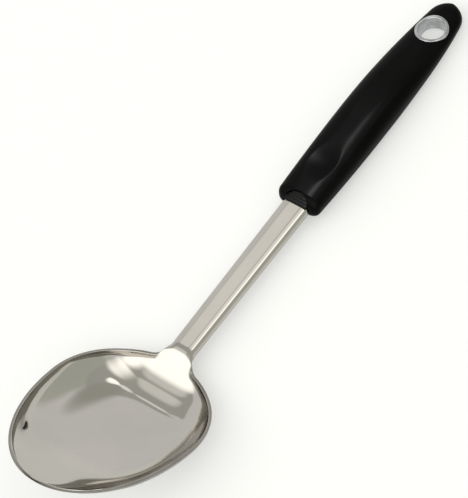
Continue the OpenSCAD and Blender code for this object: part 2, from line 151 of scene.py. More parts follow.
def steel_layout():
    """Where the edge line starts, bends and meets the handle, in side view."""
    u = BOWL_L * np.arange(TIP_STEPS + 1) / TIP_STEPS ** 2
    tip_x = -END_X - (u * cos(BOWL_TILT) - depth(u) * sin(BOWL_TILT)).min()
    edge_z = STEM_MOUTH_Z - FLANGE_H
    bend = (TIP_H - edge_z - (MOUTH_X - tip_x) * tan(STEM_FALL)) \
        / (sin(BOWL_TILT) - cos(BOWL_TILT) * tan(STEM_FALL))
    turn = BOWL_TILT - STEM_FALL
    tangent = NECK_BEND_R * tan(turn / 2)
    start = bend - tangent
    stop = start + NECK_BEND_R * turn
    a = (tip_x + start * cos(BOWL_TILT), TIP_H - start * sin(BOWL_TILT))
    b = (tip_x + bend * cos(BOWL_TILT) + tangent * cos(STEM_FALL),
         TIP_H - bend * sin(BOWL_TILT) - tangent * sin(STEM_FALL))
    mouth_u = stop + (MOUTH_X - b[0]) / cos(STEM_FALL)
    return tip_x, start, stop, a, b, mouth_u


TIP_X, BEND_FROM_U, BEND_TO_U, BEND_FROM, BEND_TO, MOUTH_U = steel_layout()
TANG_U = MOUTH_U + TANG_L / cos(STEM_FALL)


def fall(u):
    """How steeply the edge line falls towards the handle."""
    bend = BOWL_TILT - (u - BEND_FROM_U) / NECK_BEND_R
    return np.where(u < BEND_FROM_U, BOWL_TILT, np.where(u > BEND_TO_U, STEM_FALL, bend))


def edge_line(u):
    """The line of the rim and of the stem's lower edges, in side view."""
    f = fall(u)
    x = np.where(u < BEND_FROM_U, TIP_X + u * cos(BOWL_TILT),
                 np.where(u > BEND_TO_U, BEND_TO[0] + (u - BEND_TO_U) * cos(STEM_FALL),
                          BEND_FROM[0] + NECK_BEND_R * (sin(BOWL_TILT) - np.sin(f))))
    z = np.where(u < BEND_FROM_U, TIP_H - u * sin(BOWL_TILT),
                 np.where(u > BEND_TO_U, BEND_TO[1] - (u - BEND_TO_U) * sin(STEM_FALL),
                          BEND_FROM[1] + NECK_BEND_R * (cos(BOWL_TILT) - np.cos(f))))
    return x, z


def half_width(u):
    stem = mix(STEM_NECK_W, STEM_MOUTH_W, np.clip((u - BOWL_L) / (MOUTH_U - BOWL_L), 0, 1)) / 2
    corner = CORNER_Y - np.sqrt(np.maximum(NECK_CORNER_R ** 2 - (u - CORNER_U) ** 2, 0))
    outer = np.where(u < CORNER_FROM_U, rim_half(np.minimum(u, CORNER_FROM_U)),
                     np.where(u > CORNER_U, stem, corner))
    return outer - SHEET_T * ease(-depth(u) / STEM_RISE)


def section_powers(u):
    t = ease((u - SHAPE_FROM_U) / (NECK_TO_U - SHAPE_FROM_U))
    return 2 / mix(ACROSS_POWER_Y, STEM_POWER, t), 2 / mix(ACROSS_POWER_Z, STEM_POWER, t)


def underside(u, a):
    """Point of the sheet's underside, u along the edge line. The angle a goes from 0 in the middle
    to 90 degrees at the edge."""
    py, pz = section_powers(u)
    y = half_width(u) * np.abs(np.sin(a)) ** py
    d = depth(u) * np.abs(np.cos(a)) ** pz
    x, z = edge_line(u)
    return np.stack([x - d * np.sin(fall(u)), y, z - d * np.cos(fall(u))], -1)


def unit(v):
    return v / np.maximum(np.linalg.norm(v, axis=-1, keepdims=True), 1e-12)


def sheet_normal(u, a):
    """Direction in which the sheet's thickness is laid: square to the sheet, but straight up where
    the bowl turns into the stem and has no depth."""
    du, da = BOWL_L / 400, radians(1.0)
    tip, edge = 1e-4, radians(89.95)
    along = underside(u + du, a) - underside(np.maximum(u - du, tip), a)
    a0, a1 = np.maximum(a - da, 0), np.minimum(a + da, edge)
    across = underside(u, a1) - underside(u, np.minimum(a0, a1 - da))
    n = unit(np.cross(along, across))
    up = np.stack([np.sin(fall(u)), 0 * u, np.cos(fall(u))], -1)
    flat = ease(np.abs(depth(u)) / STEM_RISE)[..., None]
    return np.where((u < NECK_FROM_U)[..., None], n, unit(mix(up, n, flat)))


# Spacing of the stations along the outline, in millimetres: round the bowl, round the neck, which
# lies between two places on the line, and down the stem
BOWL_PACE, NECK_PACE, STEM_PACE = 1.0, 0.55, 3.0
CLOSE_FROM_U, CLOSE_TO_U = 80, 125
# The line is first walked in finer steps, from just beside the tip
FIRST_ANGLE, FINE_TIP, FINE_REST = 0.002, 900, 4000


def outline_stations():
    """Places along the outline, evenly spaced, closer together round the neck."""
    tip = WIDEST_U * (1 - np.cos(np.linspace(FIRST_ANGLE, pi / 2, FINE_TIP)))
    u = np.concatenate([tip, np.linspace(WIDEST_U, TANG_U, FINE_REST)[1:]])
    y = half_width(u)
    pace = np.where(u < CLOSE_FROM_U, BOWL_PACE, np.where(u < CLOSE_TO_U, NECK_PACE, STEM_PACE))
    run = np.concatenate([[0], np.cumsum(np.hypot(np.diff(u), np.diff(y)) / pace[1:])])
    return np.interp(np.linspace(0, run[-1], int(run[-1])), run, u)


# The sheet's rounded edge, with points part of the way up between its two rounds
LIP_R, LIP_STEPS = 0.35, 4
LIP_MIDDLE = (0.12, 0.5, 0.88)
# Rows of points from the edge to the middle. In the front of the bowl all of them run to one pole.
ROWS, FINE_ROWS, ROW_POWER = 56, 600, 0.9
POLE_U = BOWL_L * 0.6
# The press left the underside and most of the edge satin, with a darker colour that is painted
# shade: these rows, counted from the underside
SATIN_SHADED_ROWS = ROWS + LIP_STEPS + 4


def steel_half():
    """Grid of the closed sheet on one side of the middle: stations x profile points."""
    arcs = np.linspace(0, pi / 2, LIP_STEPS + 1)
    lip = [(LIP_R - LIP_R * sin(t), LIP_R - LIP_R * cos(t)) for t in arcs]
    lip += [(0, mix(LIP_R, SHEET_T - LIP_R, t)) for t in LIP_MIDDLE]
    lip += [(LIP_R - LIP_R * sin(t), SHEET_T - LIP_R + LIP_R * cos(t)) for t in arcs[::-1]]
    share = np.sin(np.linspace(0, pi / 2, FINE_ROWS)) ** ROW_POWER
    lines = []
    for edge_u in outline_stations():
        edge_y = float(half_width(edge_u))
        u = mix(max(POLE_U, edge_u), edge_u, share)
        y = edge_y * share
        py, _ = section_powers(u)
        a = np.arcsin(np.clip(y / half_width(u), 0, 1) ** (1 / py))
        a[-1] = pi / 2
        p = underside(u, a)
        n = sheet_normal(u, a)
        s = np.concatenate([[0], np.cumsum(np.linalg.norm(np.diff(p, axis=0), axis=1))])
        s = s[-1] - s

        def at(dist, rise):
            """Point at a distance from the edge, raised off the underside."""
            i = np.array([np.interp(dist, s[::-1], col[::-1]) for col in (*p.T, *n.T)])
            return i[:3] + rise * i[3:] / np.linalg.norm(i[3:])

        rows = mix(s[0], LIP_R, np.linspace(0, 1, ROWS))
        line = [at(d, 0) for d in rows[:-1]] + [at(d, h) for d, h in lip] \
            + [at(d, SHEET_T) for d in rows[::-1][1:]]
        lines.append(line)
    return np.array(lines)


# How the drawn spoon is turned and moved to lie on the table: find_rest() fills this in
REST = {"turn": 0.0, "x": 0.0, "z": 0.0}


def at_rest(points):
    """Turns and moves drawn points to where the spoon lies on the table."""
    x, y, z = np.moveaxis(np.asarray(points, float), -1, 0)
    c, s = cos(REST["turn"]), sin(REST["turn"])
    return np.stack([x * c - z * s + REST["x"], y, x * s + z * c + REST["z"]], -1)


def add_mesh(name, points, faces, smooth=True, turned=True, finishes=None):
    """Object from points in millimetres. finishes gives each face's material slot."""
    mesh = bpy.data.meshes.new(name)
    points = (at_rest(points) if turned else np.asarray(points)) * MM
    mesh.from_pydata([tuple(p) for p in points], [], [tuple(f) for f in faces])
    if finishes:
        mesh.polygons.foreach_set("material_index", finishes)
    mesh.validate()
    mesh.update()
    if smooth:
        mesh.polygons.foreach_set("use_smooth", [True] * len(mesh.polygons))
    piece = bpy.data.objects.new(name, mesh)
    bpy.context.scene.collection.objects.link(piece)
    return piece


def merge(points, faces, finishes):
    """One vertex for each place, and no face with a side of no length."""
    places = np.round(points, 4)
    _, first, back = np.unique(places, axis=0, return_index=True, return_inverse=True)
    back = back.reshape(-1)
    kept, kept_finishes = [], []
    for face, finish in zip(faces, finishes):
        ring = []
        for i in (back[j] for j in face):
            if not ring or ring[-1] != i:
                ring.append(int(i))
        if len(ring) > 1 and ring[0] == ring[-1]:
            ring.pop()
        if len(set(ring)) > 2:
            kept.append(ring)
            kept_finishes.append(finish)
    return points[first], kept, kept_finishes


def make_steel():
    half = steel_half()
    n, m = half.shape[:2]
    points = np.concatenate([half.reshape(-1, 3), (half * [1, -1, 1]).reshape(-1, 3)])
    faces, finishes = [], []
    for i in range(n - 1):
        for j in range(m - 1):
            a, b, c, d = i * m + j, i * m + j + 1, (i + 1) * m + j + 1, (i + 1) * m + j
            faces.append((a, b, c, d))
            faces.append(tuple(n * m + k for k in (d, c, b, a)))
            finishes += [int(j < SATIN_SHADED_ROWS)] * 2
    for j in range(m - 1):
        faces.append((j + 1, j, n * m + j, n * m + j + 1))
        finishes.append(int(j < SATIN_SHADED_ROWS))
    last = (n - 1) * m
    for j in range(m // 2):
        a, b, c, d = last + j, last + j + 1, last + m - 2 - j, last + m - 1 - j
        if b <= c:
            faces.append((a, d, c, b))
            faces.append(tuple(n * m + k for k in (b, c, d, a)))
    finishes += [1] * (len(faces) - len(finishes))
    points, faces, finishes = merge(points, faces, finishes)
    return add_mesh("pressed_bowl_and_stem", points, faces, finishes=finishes)


# ---- Handle, along t from 0 at its mouth to 1 at its end

# Where the crown starts to fall and would level out, and where the grip is widest
TOP_FROM, TOP_TO, WIDEST_T = 0.414, 1.023, 0.374
# How late it narrows towards the tail, how square the tail is seen from above, and how much of
# its height is left at the tail's end
TAPER_POWER, TAIL_POWER, TAIL_SIDE = 3.1, 2.9, 0.58
# Where the belly meets the level underside, and how it rises to the mouth
BELLY_TO, BELLY_POWER = 0.516, 1.25
# Powers of the section at the mouth and at the end, and of the mouth's lean
MOUTH_POWER, END_POWER, LEAN_POWER = 2.8, 2.45, 1.5
# The thumb scoop in lengths of SCOOP_X: its half-length, and the start and run of both ends of
# the flat behind it
SCOOP_REACH, FLAT_FROM, FLAT_RUN, FLAT_END, FLAT_END_RUN = 0.31, 1.6, 1.5, 3.2, 0.8
# Depths in shares of SCOOP_D: off the whole crown, at the scoop's rim, in its cup and on the flat
CROWN_SHARE, RIM_SHARE, CUP_SHARE, FLAT_DEPTH = 0.025, 0.5, 0.5, 0.36
CUP_HALF_W = HANDLE_W * 0.3


def top_fall(t):
    return ease((t - TOP_FROM) / (TOP_TO - TOP_FROM))


def grip_top(t):
    return mix(MOUTH_TOP_Z, TAIL_H, top_fall(t) / top_fall(1.0))


def grip_half(t):
    front = mix(MOUTH_W, HANDLE_W, np.sin(pi / 2 * np.clip(t / WIDEST_T, 0, 1)))
    back = mix(HANDLE_W, TAIL_W, np.clip((t - WIDEST_T) / (1 - WIDEST_T), 0, 1) ** TAPER_POWER)
    return np.where(t < WIDEST_T, front, back) / 2


def belly_z(t):
    return MOUTH_LOW_Z * np.maximum(1 - t / BELLY_TO, 0) ** BELLY_POWER


def scoop_swell(x):
    return np.exp(-((x - MOUTH_X - SCOOP_X) / (SCOOP_X * SCOOP_REACH)) ** 2)


def scoop(x):
    """Depth of the thumb scoop's rim below the crown, and of the flat behind it."""
    back = ease((x - MOUTH_X - SCOOP_X * FLAT_FROM) / (SCOOP_X * FLAT_RUN)) \
        * (1 - ease((x - MOUTH_X - SCOOP_X * FLAT_END) / (SCOOP_X * FLAT_END_RUN)))
    return SCOOP_D * (mix(CROWN_SHARE, RIM_SHARE, scoop_swell(x)) + FLAT_DEPTH * back)


def cup(x, y):
    """Further depth of the thumb scoop inside its rim."""
    return SCOOP_D * CUP_SHARE * scoop_swell(x) * np.maximum(1 - (y / CUP_HALF_W) ** 2, 0)


def soft_min(a, b, k):
    """The lower of two heights, blended where they are less than k apart."""
    h = np.maximum(k - np.abs(a - b), 0) / k
    return np.minimum(a, b) - h * h * k / 4


def grip_points(x, a):
    """Point of the grip's skin at a place along it and an angle round it."""
    t = (x - MOUTH_X) / HANDLE_L
    q = np.maximum(x - (END_X - TAIL_ROUND), 0) / TAIL_ROUND
    s = np.sqrt(np.maximum(1 - q ** TAIL_POWER, 0))
    e = np.maximum(MOUTH_X + MOUTH_EDGE_R - x, 0) / MOUTH_EDGE_R
    inset = MOUTH_EDGE_R * (1 - np.sqrt(np.maximum(1 - e * e, 0)))
    top = grip_top(t)
    low = belly_z(t)
    half = grip_half(t) * s - inset
    tall = (top - low) / 2 * mix(TAIL_SIDE, 1, s) - inset
    p = 2 / mix(MOUTH_POWER, END_POWER, ease(t))
    y = half * signed_power(np.cos(a), p)
    z = (top + low) / 2 + tall * signed_power(np.sin(a), p)
    z = np.where(np.sin(a) > 0, soft_min(z, top - inset - scoop(x) - cup(x, y), SCOOP_D / 8), z)
    lean_h = MOUTH_TOP_Z - MOUTH_LOW_Z
    lean = lean_h * tan(MOUTH_LEAN) * (np.maximum(z - MOUTH_LOW_Z, 0) / lean_h) ** LEAN_POWER \
        * (1 - ease((x - MOUTH_X) / (HANDLE_L / 8)))
    return np.stack([x + lean, y, z], -1)


# The handle's end, as it is searched for the resting place
REST_ROUND, REST_GAP = 44, 0.005


def find_rest():
    """The turn at which the undersides of bowl and handle both touch the table, and the shift that
    brings the middle of the spoon's length over the origin."""
    t = np.arange(MIDDLE_STEPS + 1) / MIDDLE_STEPS
    bowl = underside(mix(TIP_GAP_U, BOWL_L, t), 0 * t)
    belly = np.stack([MOUTH_X + t * HANDLE_L, 0 * t, belly_z(t)], -1)
    low, high = 0.0, radians(10)
    for _ in range(HALVINGS):
        REST["turn"] = (low + high) / 2
        if at_rest(bowl)[:, 2].min() > at_rest(belly)[:, 2].min():
            low = REST["turn"]
        else:
            high = REST["turn"]
    REST["z"] = -at_rest(belly)[:, 2].min()
    u = TIP_GAP_U * np.arange(1, TIP_STEPS + 2)
    tip = underside(u, 0 * u)
    tip = np.concatenate([tip, tip + SHEET_T * sheet_normal(u, 0 * u)])
    a = np.linspace(0, 2 * pi, REST_ROUND + 1)
    tail = grip_points(END_X - TAIL_ROUND * REST_GAP + 0 * a, a)
    REST["x"] = -(at_rest(tip)[:, 0].min() + at_rest(tail)[:, 0].max()) / 2


find_rest()


# Points round and along the grip. Its tail closes with a tiny flat face.
GRIP_ROUND = 144
GRIP_EDGE_STEPS, GRIP_BODY_STEPS, GRIP_TAIL_STEPS = 12, 130, 30
GRIP_END = TAIL_ROUND * 0.9995


def make_grip():
    edge = np.linspace(0, pi / 2, GRIP_EDGE_STEPS + 1)[:-1]
    tail = np.linspace(0, pi / 2, GRIP_TAIL_STEPS + 1)[1:]
    x = np.concatenate([MOUTH_X + MOUTH_EDGE_R * (1 - np.cos(edge)),
                        np.linspace(MOUTH_X + MOUTH_EDGE_R, END_X - TAIL_ROUND, GRIP_BODY_STEPS),
                        END_X - TAIL_ROUND + GRIP_END * np.sin(tail)])
    m = GRIP_ROUND
    a = np.linspace(0, 2 * pi, m, endpoint=False)
    grid = grip_points(*np.meshgrid(x, a, indexing="ij"))
    n = len(x)
    points = grid.reshape(-1, 3)
    faces = [(i * m + k, i * m + (k + 1) % m, (i + 1) * m + (k + 1) % m, (i + 1) * m + k)
             for i in range(n - 1) for k in range(m)]
    faces.append(tuple(reversed(range(m))))
    faces.append(tuple((n - 1) * m + k for k in range(m)))
    return add_mesh("outer_grip", points, faces)


# ---- Placing things along the stem, and cutting

def along_stem(p):
    """From a place counted from the mouth, along the stem's flat top and off it."""
    x, y, z = np.moveaxis(np.asarray(p, float), -1, 0)
    c, s = cos(STEM_FALL), sin(STEM_FALL)
    return np.stack([MOUTH_X + x * c + z * s, y, STEM_MOUTH_Z - x * s + z * c], -1)


def prism(name, ring, low, high, place=None):
    """Closed prism over a ring of x, y points, from low to high, for cutting."""
    n = len(ring)
    points = [(x, y, low) for x, y in ring] + [(x, y, high) for x, y in ring]
    if place:
        points = place(points)
    faces = [tuple(reversed(range(n))), tuple(range(n, 2 * n))]
    faces += [(i, (i + 1) % n, n + (i + 1) % n, n + i) for i in range(n)]
    return add_mesh(name, points, faces, smooth=False)


def circle(cx, r):
    n = 128
    return [(cx + r * cos(2 * pi * i / n), r * sin(2 * pi * i / n)) for i in range(n)]


def box_ring(x0, x1, half):
    return [(x0, -half), (x1, -half), (x1, half), (x0, half)]


def cut(piece, cutters):
    bpy.context.view_layer.objects.active = piece
    for cutter in cutters:
        mod = piece.modifiers.new("cut", "BOOLEAN")
        mod.operation, mod.solver, mod.object = "DIFFERENCE", "EXACT", cutter
        bpy.ops.object.modifier_apply(modifier=mod.name)
        bpy.data.objects.remove(cutter)


# Round the hanging hole, the crown and the belly that the eyelet sits on are taken as cylinders
HOLE_X = END_X - HOLE_BACK
HOLE_T, SLOPE_STEP = (HOLE_X - MOUTH_X) / HANDLE_L, 0.02
CROWN_Z = float(grip_top(HOLE_T))
CROWN_SLOPE = float((grip_top(HOLE_T - SLOPE_STEP) - grip_top(HOLE_T + SLOPE_STEP))
                    / (2 * SLOPE_STEP * HANDLE_L))
CROWN_R = HANDLE_W * 0.85
TUBE_R = HOLE_R + TUBE_T
CORE_START = NOTCH_R + MOUTH_EDGE_R / 2
NOTCH_BACK = MOUTH_EDGE_R / 3


def belly_at(y):
    """How far the belly has risen at a distance from the middle line."""
    return CROWN_R - np.sqrt(CROWN_R ** 2 - y * y)


def crown_at(x, y):
    """Top of the eyelet's flange, a third of a ring's thickness proud of the crown."""
    return CROWN_Z + RING_T / 3 - CROWN_SLOPE * (x - HOLE_X) - belly_at(y)


def revolved(name, profile):
    """Ring round the hanging hole. A profile point is radius, height, and whether that is counted
    from the crown or from the belly."""
    n, m = 160, len(profile)
    t = np.linspace(0, 2 * pi, n, endpoint=False)
    points = []
    for r, h, from_crown in profile:
        x, y = HOLE_X + r * np.cos(t), r * np.sin(t)
        base = crown_at(x, y) if from_crown else belly_at(y)
        points.append(np.stack([x, y, base + h], -1))
    points = np.array(points).transpose(1, 0, 2).reshape(-1, 3)
    faces = []
    for i in range(n):
        j = (i + 1) % n
        faces += [(i * m + k, i * m + (k + 1) % m, j * m + (k + 1) % m, j * m + k)
                  for k in range(m)]
    return add_mesh(name, points, faces)


def crown_arc(cr, ch, r, start, stop, steps):
    """Rounded edge of the profile, between two angles in degrees."""
    return [(cr + r * cos(radians(t)), ch + r * sin(radians(t)), True)
            for t in np.linspace(start, stop, steps)]


def make_eyelet():
    inner_roll, outer_roll = 0.55, 0.4
    wall = [(HOLE_R, h, False) for h in (0.3, 1.0, 3.0)] \
        + [(HOLE_R, -h, True) for h in (3.0, 1.5, 0.7)]
    top = crown_arc(HOLE_R + inner_roll, -inner_roll, inner_roll, 180, 90, 7) \
        + crown_arc(FLANGE_R - outer_roll, -outer_roll, outer_roll, 90, -10, 6)
    under = [(FLANGE_R - 0.1, -RING_T, True), (TUBE_R, -RING_T, True),
             (TUBE_R, -RING_T - 0.5, True), (TUBE_R, 0.4, False), (TUBE_R - 0.25, 0.05, False),
             (HOLE_R + 0.2, 0.05, False)]
    return revolved("eyelet_lining", wall + top + under)


def make_back_ring():
    inner = TUBE_R + PIN_GAP
    ring = [(inner, RING_T, False), (inner, 0.2, False), (inner + 0.15, 0.03, False),
            (FLANGE_R - 0.35, 0.03, False), (FLANGE_R - 0.1, 0.15, False), (FLANGE_R, 0.4, False),
            (FLANGE_R, RING_T, False)]
    return revolved("eyelet_back", ring)


# The wedge fills the notch: its front and back, the part of a rib that rises, and how much lower
# its sides are than its middle
WEDGE_FROM, WEDGE_TO = MOUTH_EDGE_R / 6, NOTCH_R - NOTCH_BACK - FIT_GAP
RIB_SLOPE, WEDGE_CROWN = 0.45, 0.35
# Points along and across it, its least height, and the least square of its half-width, so that it
# comes to no sharp end
WEDGE_LONG, WEDGE_WIDE = 90, 41
LEAST_H, LEAST_HALF_SQ, BACK_GAP = 0.1, 0.01, 0.02


def wedge_height(x):
    """Height of the ribbed ramp above the stem, at distance x from the mouth."""
    low = WEDGE_H / (WEDGE_RIBS + 1)
    t = np.clip((x - WEDGE_FROM) / (WEDGE_TO - WEDGE_FROM), 0, 1) * WEDGE_RIBS
    step = np.floor(np.minimum(t, WEDGE_RIBS - 1e-6))
    rise = (WEDGE_H - low) / WEDGE_RIBS
    return low + rise * (step + ease((t - step) / RIB_SLOPE))


def make_wedge():
    r = NOTCH_R - FIT_GAP
    xs = np.linspace(WEDGE_FROM, WEDGE_TO - BACK_GAP, WEDGE_LONG)
    n, m = WEDGE_LONG, WEDGE_WIDE
    top, base = [], []
    for x in xs:
        half = sqrt(max(r * r - (x + NOTCH_BACK) ** 2, LEAST_HALF_SQ))
        y = half * np.sin(np.linspace(-pi / 2, pi / 2, m))
        z = wedge_height(x) - WEDGE_CROWN * (y / r) ** 2
        top.append(np.stack([0 * y + x, y, np.maximum(z, FIT_GAP + LEAST_H)], -1))
        base.append(np.stack([0 * y + x, y, 0 * y + FIT_GAP], -1))
    points = along_stem(np.array(top + base).reshape(-1, 3))
    g = n * m
    faces = []
    for i in range(n - 1):
        for k in range(m - 1):
            a, b, c, d = i * m + k, (i + 1) * m + k, (i + 1) * m + k + 1, i * m + k + 1
            faces += [(a, b, c, d), (g + d, g + c, g + b, g + a)]
        for k, flip in ((0, False), (m - 1, True)):
            a, b = i * m + k, (i + 1) * m + k
            quad = (a, g + a, g + b, b)
            faces.append(tuple(reversed(quad)) if flip else quad)
    for i, flip in ((0, True), (n - 1, False)):
        for k in range(m - 1):
            a, b = i * m + k, i * m + k + 1
            quad = (a, g + a, g + b, b)
            faces.append(tuple(reversed(quad)) if flip else quad)
    return add_mesh("ribbed_wedge", points, faces)


# ---- Finishes

def linear(code):
    """sRGB hex colour as linear values, with an alpha of 1."""
    v = [int(code[i:i + 2], 16) / 255 for i in (1, 3, 5)]
    return tuple(c / 12.92 if c <= 0.04045 else ((c + 0.055) / 1.055) ** 2.4 for c in v) + (1.0,)


def add_node(tree, kind, settings=None, links=None):
    """A node with its settings (by socket or property name) and its incoming links."""
    node = tree.nodes.new(kind)
    for key, value in (settings or {}).items():
        if isinstance(key, int) or key in node.inputs:
            node.inputs[key].default_value = value
        else:
            setattr(node, key, value)
    for key, source in (links or {}).items():
        tree.links.new(source, node.inputs[key])
    return node


def new_material(name, settings):
    material = bpy.data.materials.new(name)
    material.use_nodes = True
    tree = material.node_tree
    tree.nodes.clear()
    shader = add_node(tree, "ShaderNodeBsdfPrincipled", settings)
    add_node(tree, "ShaderNodeOutputMaterial", links={"Surface": shader.outputs["BSDF"]})
    return material, tree, shader


def object_place(tree, size, stretch=(1.0, 1.0, 1.0)):
    """Place on the spoon, in steps of a size in millimetres, stretched along the axes."""
    place = add_node(tree, "ShaderNodeTexCoord").outputs["Object"]
    scale = tuple(1 / (size * k * MM) for k in stretch)
    scaled = add_node(tree, "ShaderNodeMapping", {"Scale": scale}, {"Vector": place})
    return scaled.outputs["Vector"]


def vary(tree, shader, place, low, high):
    """Lets a noise pattern move the roughness between two values."""
    noise = add_node(tree, "ShaderNodeTexNoise", {"Scale": 1.0, "Detail": 3.0}, {"Vector": place})
    level = add_node(tree, "ShaderNodeMapRange", {
        "From Min": 0.35, "From Max": 0.65, "To Min": low, "To Max": high},
        {"Value": noise.outputs["Fac"]})
    tree.links.new(level.outputs["Result"], shader.inputs["Roughness"])


def tint(tree, shader, place, first, second):
    """Lets a slow noise pattern move the colour between two close shades."""
    noise = add_node(tree, "ShaderNodeTexNoise", {"Scale": 1.0, "Detail": 2.0}, {"Vector": place})
    ramp = add_node(tree, "ShaderNodeValToRGB", links={"Fac": noise.outputs["Fac"]})
    for stop, at, colour in zip(ramp.color_ramp.elements, (0.38, 0.62), (first, second)):
        stop.position, stop.color = at, linear(colour)
    tree.links.new(ramp.outputs["Color"], shader.inputs["Base Color"])


def relief(tree, shader, heights, distance, strength):
    """Raises the surface by the sum of some patterns, by a distance in millimetres."""
    total = heights[0]
    for height in heights[1:]:
        both = add_node(tree, "ShaderNodeMath", {"operation": "ADD"}, {0: total, 1: height})
        total = both.outputs[0]
    bump = add_node(tree, "ShaderNodeBump", {"Strength": strength, "Distance": distance * MM},
                    {"Height": total})
    tree.links.new(bump.outputs["Normal"], shader.inputs["Normal"])


def polished_stainless():
    """Mirror-polished stainless sheet: a clear, slightly warm mirror. The press leaves it a little
    uneven every 14 mm or so, and the polishing wheel leaves fine lines along the spoon. Those are
    about 0.05 mm apart in life and drawn at 0.5 mm, so that they can show at all."""
    material, tree, shader = new_material("polished_stainless_sheet", {"Metallic": 1.0})
    tint(tree, shader, object_place(tree, 30), "#B5B1AB", "#B0ADA7")
    vary(tree, shader, object_place(tree, 22), 0.05, 0.085)
    press = add_node(tree, "ShaderNodeTexNoise", {"Scale": 1.0, "Detail": 1.0},
                     {"Vector": object_place(tree, 14)})
    lines = add_node(tree, "ShaderNodeTexNoise", {"Scale": 1.0, "Detail": 2.0},
                     {"Vector": object_place(tree, 0.5, (24, 1, 1))})
    faint = add_node(tree, "ShaderNodeMath", {"operation": "MULTIPLY", 1: 0.012},
                     {0: lines.outputs["Fac"]})
    relief(tree, shader, [press.outputs["Fac"], faint.outputs[0]], 0.2, 0.06)
    return material


def satin_stainless_with_painted_shade():
    """The outside of the sheet and its cut edge, left satin by the press: blurred, with short
    drawing lines, and darker with painted shade that stands in for the dark things they reflect.
    The lines are about 0.1 mm apart in life and drawn at 0.4 mm, so that they show."""
    material, tree, shader = new_material("satin_pressed_stainless_painted_shade", {"Metallic": 1.0})
    # Painted shade: darker shades of steel that stand in for the dark things the underside and
    # edge reflect
    tint(tree, shader, object_place(tree, 18), "#918E88", "#86837D")
    vary(tree, shader, object_place(tree, 9), 0.22, 0.32)
    lines = add_node(tree, "ShaderNodeTexNoise", {"Scale": 1.0, "Detail": 3.0},
                     {"Vector": object_place(tree, 0.4, (16, 1, 1))})
    relief(tree, shader, [lines.outputs["Fac"]], 0.03, 0.25)
    return material


def eyelet_stainless():
    """Turned and pressed stainless eyelet: bright, with turning lines round the hole. They are
    about 0.1 mm apart in life, too fine to show, and drawn 2.2 mm apart."""
    material, tree, shader = new_material("turned_stainless", {"Metallic": 1.0})
    tint(tree, shader, object_place(tree, 6), "#BDBEBF", "#A4A6A8")
    vary(tree, shader, object_place(tree, 2.5), 0.1, 0.2)
    centre = tuple(k * MM for k in at_rest([HOLE_X, 0, 0]))
    place = add_node(tree, "ShaderNodeTexCoord").outputs["Object"]
    moved = add_node(tree, "ShaderNodeMapping", {"Location": tuple(-k for k in centre)},
                     {"Vector": place})
    # At a scale of 1 the wave turns by 20 radians in a metre, and here by 1 in 0.35 mm
    rings = add_node(tree, "ShaderNodeTexWave", {
        "wave_type": "RINGS", "rings_direction": "Z", "Scale": 1 / (0.35 * MM * 20),
        "Distortion": 1.5, "Detail": 2.0}, {"Vector": moved.outputs["Vector"]})
    relief(tree, shader, [rings.outputs["Fac"]], 0.02, 0.3)
    return material


def moulded_grip():
    """Moulded black thermoplastic rubber, satin: almost black, with a soft sheen on its edges. The
    mould's spark-eroded grain is about 0.15 mm and drawn at 0.45 mm, so that it breaks up the
    sheen, and handling has polished it in patches a few centimetres long."""
    material, tree, shader = new_material("moulded_black_rubber_grip", {
        "IOR": 1.5, "Specular IOR Level": 0.045, "Sheen Weight": 0.025, "Sheen Roughness": 0.35})
    tint(tree, shader, object_place(tree, 20), "#030303", "#060606")
    vary(tree, shader, object_place(tree, 12, (2.5, 1, 1)), 0.27, 0.35)
    grain = add_node(tree, "ShaderNodeTexNoise", {"Scale": 1.0, "Detail": 3.0},
                     {"Vector": object_place(tree, 0.45)})
    relief(tree, shader, [grain.outputs["Fac"]], 0.04, 0.18)
    return material


def ribbed_rubber():
    """The wedge's softer rubber: a shade lighter and more matt than the grip, with mould grain of
    about 0.2 mm drawn at 0.4 mm."""
    material, tree, shader = new_material("moulded_rubber_wedge", {
        "IOR": 1.52, "Specular IOR Level": 0.12})
    tint(tree, shader, object_place(tree, 3), "#050505", "#0A0A0A")
    vary(tree, shader, object_place(tree, 1.5), 0.34, 0.5)
    grain = add_node(tree, "ShaderNodeTexNoise", {"Scale": 1.0, "Detail": 2.0},
                     {"Vector": object_place(tree, 0.4)})
    relief(tree, shader, [grain.outputs["Fac"]], 0.03, 0.2)
    return material


def moulded_nylon():
    """Glass-filled nylon of the hidden core: dark grey, matt, with short pale fibres under its
    skin, which are hairs of 0.01 mm drawn as flecks of 0.3 by 1.5 mm."""
    material, tree, shader = new_material("glass_filled_nylon", {"IOR": 1.53})
    tint(tree, shader, object_place(tree, 0.3, (5, 1, 1)), "#161616", "#222220")
    vary(tree, shader, object_place(tree, 4), 0.5, 0.62)
    flow = add_node(tree, "ShaderNodeTexNoise", {"Scale": 1.0, "Detail": 3.0},
                    {"Vector": object_place(tree, 0.6, (3, 1, 1))})
    relief(tree, shader, [flow.outputs["Fac"]], 0.04, 0.2)
    return material


def drawn_pin_steel():
    """Drawn steel wire of the two pins: grey, satin, with lines along the pin, 0.05 mm apart in
    life and drawn at 0.2 mm."""
    material, tree, shader = new_material("drawn_steel_wire", {"Metallic": 1.0})
    tint(tree, shader, object_place(tree, 1.5), "#8F8F8E", "#A5A5A3")
    vary(tree, shader, object_place(tree, 0.2, (1, 1, 20)), 0.25, 0.42)
    lines = add_node(tree, "ShaderNodeTexNoise", {"Scale": 1.0, "Detail": 2.0},
                     {"Vector": object_place(tree, 0.2, (1, 1, 20))})
    relief(tree, shader, [lines.outputs["Fac"]], 0.02, 0.3)
    return material


# ---- The spoon

